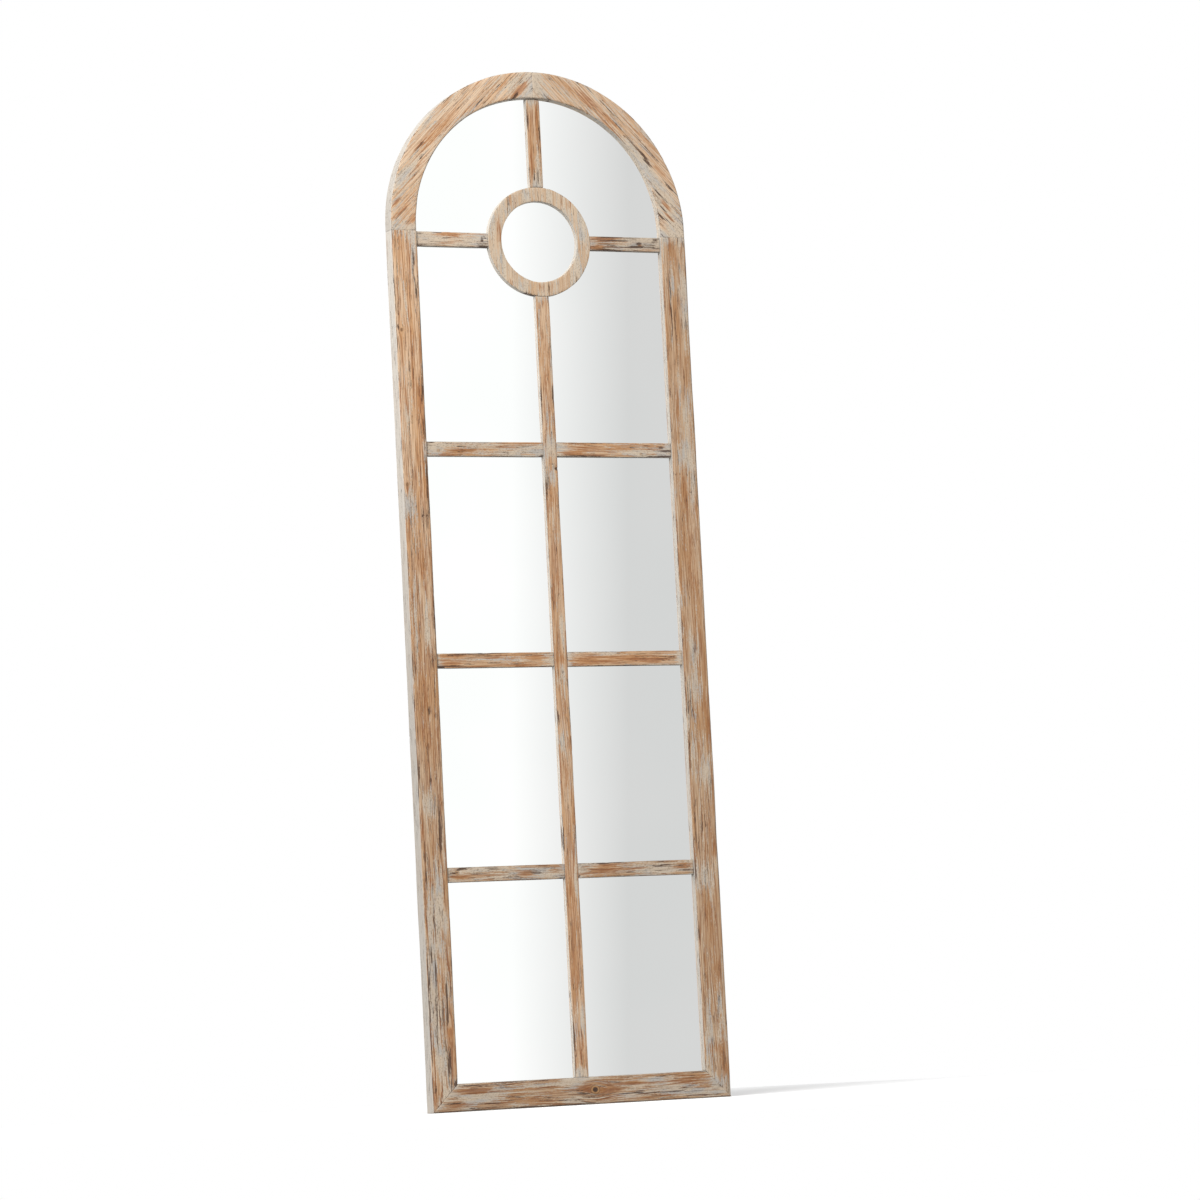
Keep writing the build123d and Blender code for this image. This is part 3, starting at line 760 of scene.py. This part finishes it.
rightArch = {
    "sideWashAndShade": (1, 0.85), "sidePaint": (1, 0.35), "seamLine": 0.12, "tone": (0.92, 0.96), "grain": -45,
    "seed": 53, "pith": (88, 30), "material": archFir, "wash": 0.3, "endWash": 0.75, "endReach": 17,
    "washed": [
        (14, 1762, 9, 22, 0.9), (180, 1672, 5, 44, 1), (160, 1712, 3, 40, 0.6), (232, 1600, 8, 34, 0.9),
        (250, 1560, 12, 30, 0.8), (205, 1640, 5, 30, 0.8), (262, 1528, 12, 14, 0.7), (120, 1722, 3, 30, 0.5),
        (60, 1765, 4, 26, 0.4),
    ],
    "amber": [
        (95, 1758, 8, 40, 0.7), (60, 1780, 5, 30, 0.5), (142, 1722, 6, 34, 0.8), (205, 1690, 4, 40, 0.7),
        (236, 1630, 4, 30, 0.6), (246, 1568, 3, 12, 1.1), (250, 1548, 3, 12, 1.2), (150, 1700, 4, 30, 0.5),
    ],
    "cracksAndContactShade": [
        (206, 1658, 1.3, 12, 1), (213, 1645, 1.4, 9, 1), (222, 1660, 1.1, 26, 0.6), (196, 1668, 1, 30, 0.7),
        (232, 1590, 1.2, 20, 0.8), (240, 1562, 1.2, 12, 0.9), (235, 1548, 1.2, 10, 0.9), (150, 1732, 1, 26, 0.6),
        (108, 1772, 1.1, 10, 0.8), (255, 1600, 1, 24, 0.6), (30, 1752, 1.3, 14, 0.7),
    ],
}

quarter = (halfWidth - frameWidth / 2) * math.pi / 2 + springZ - seamZ
for word, side, stile, arch in (("left", -1, leftStile, leftArch), ("right", 1, rightStile, rightArch)):
    mitred = lambda across: (across, np.full_like(across, seamZ))
    carvedPiece(word + "_stile", frameProfile, 3, mitred, uprightPlace(side), stile)
    carvedPiece(word + "_arch_segment", frameProfile, 1.7, between(0, quarter), archPlace(side), arch)
mitred = lambda across: (across - halfWidth, halfWidth - across)
carvedPiece("bottom_rail", frameProfile, 2.2, mitred, lying(0), bottomRail)
print("frame carved")

# ---- the glazing bars and the ring


def standing(along, across, depth):
    return np.stack([across, depth, along], axis=-1)


def ringEdge(across):
    return np.sqrt((ringRadius + copeGap) ** 2 - across**2)


# what the bars share
# the sides of the bars are darkened as painted shade, the undersides of lying bars most of all
standingBar = {"sideWashAndShade": (0.85, 0.85), "seamLine": 0.15, "material": barFir}
lyingBar = {"grain": 90, "sideWashAndShade": (0.38, 0.9), "material": barFir}
upperBar = {
    **standingBar,
    "tone": (0.92, 0.88), "seed": 61, "pith": (40, 22), "wash": 0.12, "endWash": 0.7, "endReach": 12,
    "washed": [(5, 1640, 3, 26, 0.8), (3, 1610, 10, 16, 0.5)],
    "amber": [(7, 1715, 4, 26, 1.1), (-6, 1700, 3, 40, 0.7), (-8, 1640, 3, 34, 0.7)],
    "cracksAndContactShade": [(-10, 1720, 1.2, 18, 0.9), (10, 1700, 1.1, 30, 0.8), (-3, 1618, 1, 14, 0.8), (4, 1612, 1, 10, 0.8)],
}
lowerBar = {
    **standingBar,
    "tone": (0.8, 0.82, 0.82, 0.86, 0.95),
    "seed": 67, "pith": (-46, 24), "wash": 0.14, "endWash": 0.5, "endReach": 10,
    "washed": [
        (0, 1132, 16, 20, 0.8), (0, 1088, 14, 18, 0.7), (9, 1300, 3, 60, 0.5), (-9, 1330, 3, 50, 0.5),
        (0, 1180, 12, 22, 0.4), (6, 820, 6, 28, 0.6), (2, 735, 10, 26, 0.5), (-2, 625, 9, 24, 0.5),
        (9, 440, 4, 50, 0.4), (8, 378, 4, 26, 0.7), (0, 145, 9, 34, 0.5), (0, 55, 14, 9, 0.8), (0, 990, 10, 24, 0.3),
    ],
    "amber": [
        (-1, 1390, 6, 10, 0.6), (0, 1250, 6, 60, 0.5), (2, 1050, 9, 26, 0.7), (0, 915, 11, 50, 0.7),
        (0, 766, 9, 14, 0.9), (-2, 560, 9, 40, 0.6), (-4, 365, 7, 34, 0.9), (0, 300, 8, 40, 0.5),
        (0, 220, 9, 40, 0.7), (4, 85, 6, 30, 0.8),
    ],
    "cracksAndContactShade": [
        (-11, 1200, 1.2, 60, 0.6), (11, 1210, 1.2, 60, 0.6), (-10, 1050, 1.2, 28, 0.8), (12, 1040, 1.1, 20, 0.7),
        (-11, 665, 1.4, 14, 1), (12, 700, 1.1, 40, 0.6), (-12, 460, 1.1, 26, 0.8), (12, 445, 1, 26, 0.7),
        (-11, 110, 1.3, 40, 0.9), (3, 744, 1.4, 3, 1), (-4, 1101, 9, 1.1, 0.7), (3, 1106, 9, 1.1, 0.7),
        (10, 1099, 3.4, 2.6, 1),
    ],
}
ringBars = {}
ringBars["left"] = {
    "tone": (1.05, 1.08), "seamLine": 0.15, "seed": 71, "pith": (44, 20), "wash": 0.5, "endWash": 0.5,
    "endReach": 16,
    "washed": [(-160, 1495, 9, 50, 0.5), (-215, 1499, 12, 26, 0.6)],
    "amber": [(-172, 1508, 4, 26, 1), (-128, 1504, 3, 14, 0.7), (-170, 1492, 4, 16, 0.5)],
    "cracksAndContactShade": [
        (-108, 1500, 2.6, 2.2, 0.9), (-106, 1487, 2.4, 9, 1.1), (-102, 1502, 1.4, 1.4, 0.9),
        (-226, 1486, 1.5, 8, 0.7), (-190, 1511, 1, 5, 0.8),
    ],
}
ringBars["right"] = {
    "tone": (0.8, 0.74), "seamLine": 0.15, "seed": 73, "pith": (38, 26), "wash": 0.46, "endWash": 0.4,
    "endReach": 16, "sway": 7,
    "washed": [(190, 1500, 10, 40, 0.6), (200, 1508, 6, 30, 0.6), (150, 1490, 5, 40, 0.5)],
    "amber": [(112, 1491, 4, 16, 1.5), (130, 1508, 3, 34, 1), (118, 1502, 4, 20, 0.6), (192, 1497, 2, 4, 1.4)],
    "cracksAndContactShade": [
        (150, 1504, 1, 34, 0.9), (125, 1498, 0.9, 20, 0.8), (190, 1500, 1.8, 5, 0.9), (200, 1494, 1, 26, 0.9),
        (222, 1506, 3, 5, 0.8), (210, 1498, 1, 18, 0.8), (130, 1487, 1.4, 34, 0.8), (165, 1493, 0.9, 26, 0.7),
        (130, 1510, 1, 32, 0.9),
    ],
}
crossBar = {"seamLine": 0.25, "pith": (42, 22), "endWash": 0.5, "endReach": 9}
crossBars = {}
# the dark notches at the bars' ends in these lists are painted contact shade
crossBars["upper_left"] = {
    "tone": (0.84, 0.84), "seed": 79, "wash": 0.3,
    "washed": [(-130, 1140, 6, 70, 0.5), (-60, 1126, 8, 50, 0.6), (-215, 1133, 12, 12, 0.5)],
    "amber": [(-160, 1130, 4, 28, 1), (-185, 1124, 4, 20, 0.8), (-145, 1140, 4, 30, 0.5), (-80, 1136, 3, 40, 0.6)],
    "cracksAndContactShade": [
        (-222, 1144, 1, 7, 0.9), (-170, 1137, 1, 10, 0.8), (-50, 1137, 1.2, 16, 0.9), (-165, 1128, 0.9, 20, 0.6),
        (-17, 1120, 2, 5, 0.9),
    ],
    "knots": [(-209, 1130, 3.6, 1.1, 0.7)],
}
crossBars["upper_right"] = {
    "tone": (0.86, 0.84), "seed": 83, "wash": 0.28,
    "washed": [(172, 1128, 9, 14, 0.9), (215, 1128, 12, 18, 0.6), (25, 1133, 12, 9, 0.4)],
    "amber": [
        (45, 1127, 5, 26, 1), (60, 1133, 6, 40, 0.5), (130, 1137, 6, 40, 0.5), (190, 1135, 3, 26, 0.8),
        (115, 1128, 4, 20, 0.4),
    ],
    "cracksAndContactShade": [
        (212, 1137, 2, 6, 0.9), (205, 1121, 1.2, 26, 0.8), (60, 1121, 1, 40, 0.7), (218, 1131, 1, 10, 0.7),
        (100, 1144, 0.9, 30, 0.5),
    ],
    "knots": [(172, 1126, 2.6, 1, 0.9)],
}
crossBars["middle_left"] = {
    "tone": (0.82, 0.84), "seed": 89, "wash": 0.12,
    "washed": [(-110, 768, 5, 60, 0.4), (-222, 758, 6, 10, 0.6), (-20, 768, 10, 12, 0.6)],
    "amber": [
        (-200, 775, 3, 22, 1.1), (-205, 760, 4, 16, 1.2), (-195, 768, 9, 34, 0.5), (-55, 770, 5, 30, 0.8),
        (-80, 757, 5, 26, 0.5),
    ],
    "cracksAndContactShade": [
        (-222, 755, 2.4, 6, 1), (-170, 777, 0.9, 50, 0.7), (-90, 774, 0.8, 90, 0.5), (-40, 753.6, 1, 26, 0.9),
        (-205, 757, 1, 20, 0.6),
    ],
}
crossBars["middle_right"] = {
    "tone": (0.84, 0.84), "seed": 97, "wash": 0.14,
    "washed": [
        (75, 779, 3, 40, 0.6), (25, 774, 6, 14, 0.5), (225, 767, 12, 9, 0.7), (90, 775, 3, 14, 0.7),
        (170, 754, 3, 60, 0.5),
    ],
    "amber": [(50, 764, 6, 26, 0.9), (110, 768, 6, 50, 0.8), (175, 763, 5, 36, 1.1), (60, 760, 4, 30, 0.5)],
    "cracksAndContactShade": [(100, 779, 0.9, 30, 0.7), (160, 774, 0.7, 60, 0.5), (120, 754, 1, 60, 0.7), (190, 769, 0.7, 40, 0.5)],
}
crossBars["lower_left"] = {
    "tone": (0.69, 0.68), "seed": 101, "wash": 0.3,
    "washed": [(-180, 407, 5, 26, 0.6), (-90, 402, 9, 60, 0.5), (-30, 396, 8, 20, 0.4)],
    "amber": [
        (-82, 400, 4, 18, 1.2), (-205, 395, 4, 20, 1), (-30, 403, 5, 16, 0.9), (-215, 404, 7, 12, 0.7),
        (-150, 397, 4, 26, 0.5),
    ],
    "cracksAndContactShade": [
        (-200, 411, 1.6, 10, 1), (-209, 408, 1.4, 6, 0.9), (-218, 403, 1.3, 8, 0.9), (-180, 401, 1, 12, 0.8),
        (-150, 411, 0.9, 20, 0.6), (-20, 388, 1.6, 9, 0.9), (-60, 399, 0.8, 20, 0.5),
    ],
    "knots": [(-212, 404, 4.6, 1.1, 0.8)],
}
crossBars["lower_right"] = {
    "tone": (0.7, 0.67), "seed": 103, "wash": 0.28,
    "washed": [(170, 400, 9, 50, 0.7), (30, 408, 6, 20, 0.5), (110, 406, 4, 30, 0.4)],
    "amber": [
        (60, 405, 5, 26, 1), (40, 397, 5, 30, 0.8), (210, 402, 7, 16, 0.8), (120, 400, 4, 26, 0.6),
        (80, 410, 3, 20, 0.6),
    ],
    "cracksAndContactShade": [
        (60, 412, 1, 24, 0.8), (160, 404, 0.9, 50, 0.7), (175, 396, 0.9, 40, 0.7), (120, 388, 1, 70, 0.6),
        (14, 392, 1.4, 3, 0.8), (100, 394, 0.8, 40, 0.5),
    ],
}
centreRing = {
    "sideWashAndShade": (0.75, 0.8),
    "tone": (0.96, 0.96), "seed": 107, "pith": (70, 30), "sway": 1.6, "material": ringFir, "wash": 0.36,
    "washed": [
        (-20, 1578, 5, 16, 0.8), (22, 1580, 5, 16, 0.6), (-88, 1530, 6, 22, 0.6), (84, 1520, 7, 30, 0.7),
        (-40, 1418, 12, 16, 0.6), (-72, 1450, 5, 20, 0.5), (70, 1455, 6, 30, 0.6), (50, 1545, 9, 20, 0.4),
    ],
    "amber": [
        (-76, 1510, 6, 30, 0.6), (-56, 1424, 3, 12, 0.7), (88, 1495, 6, 12, 0.5), (0, 1418, 16, 8, 0.4),
        (60, 1568, 6, 12, 0.6), (-50, 1572, 12, 10, 0.25),
    ],
    "cracksAndContactShade": [
        (-30, 1406, 6, 2.6, 0.9), (-20, 1402.6, 8, 2.2, 1), (2.5, 1578, 0.9, 12, 0.45), (-16, 1415, 0.9, 12, 0.6),
        (14, 1416, 0.8, 12, 0.5), (40, 1409, 5, 2, 0.7), (62, 1462, 0.9, 14, 0.35), (40, 1582, 0.8, 8, 0.2),
    ],
}

upperEnds = lambda across: (ringZ + ringEdge(across), springZ + np.sqrt((innerHalf - copeGap) ** 2 - across**2))
lowerEnds = lambda across: (np.full_like(across, frameWidth), ringZ - ringEdge(across))
leftEnds = lambda across: (np.full_like(across, -innerHalf), -ringEdge(across))
rightEnds = lambda across: (ringEdge(across), np.full_like(across, innerHalf))
carvedPiece("upper_vertical_bar", barProfile, 2.2, upperEnds, standing, upperBar)
carvedPiece("lower_vertical_bar", barProfile, 2.4, lowerEnds, standing, lowerBar)
for word, ends in (("left", leftEnds), ("right", rightEnds)):
    carvedPiece(word + "_ring_bar", barProfile, 2, ends, lying(ringZ), {**lyingBar, **ringBars[word]})
    for row in ("upper", "middle", "lower"):
        name = f"{row}_{word}_cross_bar"
        low, high = nodeBox(name)
        wood = {**lyingBar, **crossBar, **crossBars[f"{row}_{word}"]}
        middle = lying((low[2] + high[2]) / 2)
        carvedPiece(name, barProfile, 2, between(low[0], high[0]), middle, wood)

ringBand = 2 * halfBar
middleRadius = ringRadius - ringBand / 2


def ringPlace(along, across, depth):
    turn = along / middleRadius
    reach = middleRadius + across
    return np.stack([reach * np.cos(turn), depth, ringZ + reach * np.sin(turn)], axis=-1)


wholeTurn = between(0, middleRadius * 2 * math.pi)
carvedPiece("centre_ring", barProfile, 1.9, wholeTurn, ringPlace, centreRing, closed=True)
print("bars and ring carved")

# ---- the mirror: its silver shows a little behind the glass's face, as refraction makes it look

mirrorLook = {
    "silverDepth": 2.6,
    "headSteps": 96,
    "chamfer": 0.5,
    "sharpAngle": 20,
    "silver": srgb(250, 251, 250),
    "cloudy": srgb(247, 249, 248),
}


def archedLoop(inset, depth):
    # the sheet's outline, starting at its lower left corner
    half = glassHigh[0] - inset
    bottom = glassLow[2] + inset
    loop = [(-half, depth, bottom), (half, depth, bottom)]
    for angle in np.linspace(0, math.pi, mirrorLook["headSteps"] + 1):
        loop.append((half * math.cos(angle), depth, springZ + half * math.sin(angle)))
    return loop


front, back, chamfer = glassY + mirrorLook["silverDepth"], glassHigh[1], mirrorLook["chamfer"]
places = [(chamfer, front), (0, front + chamfer), (0, back - chamfer), (chamfer, back)]
rows = np.array([archedLoop(*spot) for spot in places])
mirrorSheet = addMesh("mirrorSheet", rows, False, {}, mirrorLook["sharpAngle"])
mirrorSilver, shader = newMaterial("mirrorSilver")
place = node("TexCoord").outputs["Object"]
cloud = node("TexNoise", {"Vector": place, "Scale": 3.0, "Detail": 2.0}).outputs[0]
silvered = blend(ramp(cloud, 0.3, 0.7), mirrorLook["silver"], mirrorLook["cloudy"])
feed(shader, {"Base Color": silvered, "Metallic": 1.0, "Roughness": 0.0})
mirrorSheet.data.materials.append(mirrorSilver)
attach(mirrorSheet, "frame")
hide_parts("mirror_glass")
print("mirror made")

# ---- finishes of the carried-over nodes


def plainNode(name, light, dark, sizes, roughness, metallic, bumpDepth):
    # two tones mixed by noise of so many millimetres along each axis
    material, shader = newMaterial(name)
    place = node("TexCoord").outputs["Object"]
    scale = tuple(1 / (size * mm) for size in sizes)
    scaled = node("Mapping", {"Vector": place, "Scale": scale})
    spots = {"Vector": scaled.outputs[0], "Scale": 1.0, "Detail": 5.0, "Roughness": 0.65}
    broad = node("TexNoise", spots).outputs[0]
    bump = node("Bump", {"Strength": 0.5, "Distance": bumpDepth, "Height": broad})
    surface = {
        "Base Color": blend(ramp(broad, 0.35, 0.65), srgb(*light), srgb(*dark)),
        "Roughness": ramp(broad, 0.3, 0.7, roughness, roughness + 0.12),
        "Metallic": metallic,
        "Normal": bump.outputs[0],
    }
    feed(shader, surface)
    return material


finishes = {  # two tones, the noise's size in mm, roughness, metal and the depth of bump in m, then the nodes
    "fibreboard": ((150, 118, 86), (128, 98, 70), (1.4, 1.4, 1.4), 0.75, 0, 0.0002, ["backing_board"]),
    "foamSheet": ((236, 236, 232), (222, 222, 218), (1.2, 1.2, 1.2), 0.8, 0, 0.0002, ["foam_underlay"]),
    "beechDowel": (
        (206, 172, 134), (186, 150, 112), (1, 1, 6), 0.6, 0, 0.0002,
        ["crown_dowels", "arch_seam_dowels", "corner_dowels", "bar_dowels"],
    ),
    "zincPlate": (
        (196, 198, 200), (176, 178, 182), (2.5, 2.5, 2.5), 0.28, 1, 0.00004,
        ["backing_screws", "hanger_screws"]
        + [side + part for side in ("left", "right") for part in ("_hanger_strap", "_hanger_ring")],
    ),
    "bumperRubber": (
        (38, 38, 39), (30, 30, 31), (0.8, 0.8, 0.8), 0.7, 0, 0.0002, ["left_wall_bumper", "right_wall_bumper"],
    ),
}
for finish, (*settings, nodes) in finishes.items():
    material = plainNode(finish, *settings)
    for name in nodes:
        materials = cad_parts[name].data.materials
        materials.clear()
        materials.append(material)
print("finishes on the carried-over nodes")

# ---- the camera of the photograph

view = {
    "place": (-3.0419, -7.0697, 0.0910),  # metres; the angles are degrees and the lens millimetres
    "yaw": 23.853,
    "pitch": 5.756,
    "roll": 2.989,
    "lens": 133.905,
    "sensor": 36.0,
    "clip": (0.05, 100),
}
turn = Matrix.Rotation(-math.radians(view["yaw"]), 4, "Z")
turn = turn @ Matrix.Rotation(math.radians(90 + view["pitch"]), 4, "X")
turn = turn @ Matrix.Rotation(-math.radians(view["roll"]), 4, "Z")
lensData = bpy.data.cameras.new("photographCamera")
lensData.lens, lensData.sensor_width = view["lens"], view["sensor"]
lensData.clip_start, lensData.clip_end = view["clip"]
camera = placed("photographCamera", lensData)
camera.matrix_world = Matrix.Translation(view["place"]) @ turn
bpy.context.scene.camera = camera

# ---- floor, world and lamp

studio = {
    "floorRadius": 1.6,
    "floorCorners": 96,
    "floorShade": 0.25,  # what the floor sends back into the object, of 1
    "floorGlow": 0.12,
    "skyUpper": 0.62,
    "skyLower": 0.2,
    "skyEdge": (-0.25, 0.3),  # heights of the two levels' ends on a sphere of radius 1
    "panelWhite": 1.05,
    "panelGrey": 0.703,
    "panelFrom": -1.13,  # degrees across the mirrored view
    "panelTo": 0.36,
    "sunStrength": 2.7,
    "sunAngle": 24.0,
    "sunTowards": (0.6, 0.68, -0.45),
}

floorMesh = bpy.data.meshes.new("floor")
radius, angles = studio["floorRadius"], np.linspace(0, 2 * math.pi, studio["floorCorners"], endpoint=False)
rim = [(radius * math.cos(angle), radius * math.sin(angle), 0.0) for angle in angles]
floorMesh.from_pydata(rim, [], [list(range(len(rim)))])
placed("floor", floorMesh)
floorPaint, shader = newMaterial("floorPaint")
seen = node("LightPath")
sharp = maths("MAXIMUM", seen.outputs["Is Glossy Ray"], seen.outputs["Is Transmission Ray"])
straight = maths("MAXIMUM", seen.outputs["Is Camera Ray"], sharp)
white, black = (1, 1, 1, 1), (0, 0, 0, 1)
surface = {
    "Base Color": blend(straight, (*[studio["floorShade"]] * 3, 1), white),
    "Emission Color": blend(straight, black, white),
    "Emission Strength": studio["floorGlow"],
    "Roughness": 1.0,
    "Specular IOR Level": 0.0,
}
feed(shader, surface)
floorMesh.materials.append(floorPaint)

world = bpy.data.worlds.new("studio")
bpy.context.scene.world = world
world.use_nodes = True
drawing["tree"] = world.node_tree
world.node_tree.nodes.clear()
direction = node("TexCoord").outputs["Generated"]
axes = turn.to_3x3()
panelAcross = Vector((axes[0][0], -axes[1][0], axes[2][0]))  # the panel's edge leans as the photograph does
panelFacing = Vector((-axes[0][2], axes[1][2], -axes[2][2]))
shares = [
    node("VectorMath", {0: direction, 1: axis}, operation="DOT_PRODUCT").outputs["Value"]
    for axis in (panelAcross, panelFacing)
]
panelAngle = maths("DEGREES", maths("ARCTAN2", *shares))
fall = {
    "Value": panelAngle,
    "From Min": studio["panelFrom"],
    "From Max": studio["panelTo"],
    "To Min": studio["panelWhite"],
    "To Max": studio["panelGrey"],
}
mirrored = grey(node("MapRange", fall).outputs[0])
upward = node("SeparateXYZ", {0: direction}).outputs[2]
skyColour = grey(ramp(upward, *studio["skyEdge"], studio["skyLower"], studio["skyUpper"]))
seen = node("LightPath")
sharp = maths("MAXIMUM", seen.outputs["Is Glossy Ray"], seen.outputs["Is Transmission Ray"])
lit = blend(sharp, skyColour, mirrored)
shown = blend(seen.outputs["Is Camera Ray"], lit, white)
background = node("Background", {"Color": shown, "Strength": 1.0})
node("OutputWorld", {"Surface": background.outputs[0]})

sunData = bpy.data.lights.new("softKey", "SUN")
sunData.energy = studio["sunStrength"]
sunData.angle = math.radians(studio["sunAngle"])
sun = placed("softKey", sunData)
sun.rotation_euler = Vector(studio["sunTowards"]).to_track_quat("-Z", "Y").to_euler()
bpy.context.scene.view_settings.view_transform = "Standard"
print("studio set")
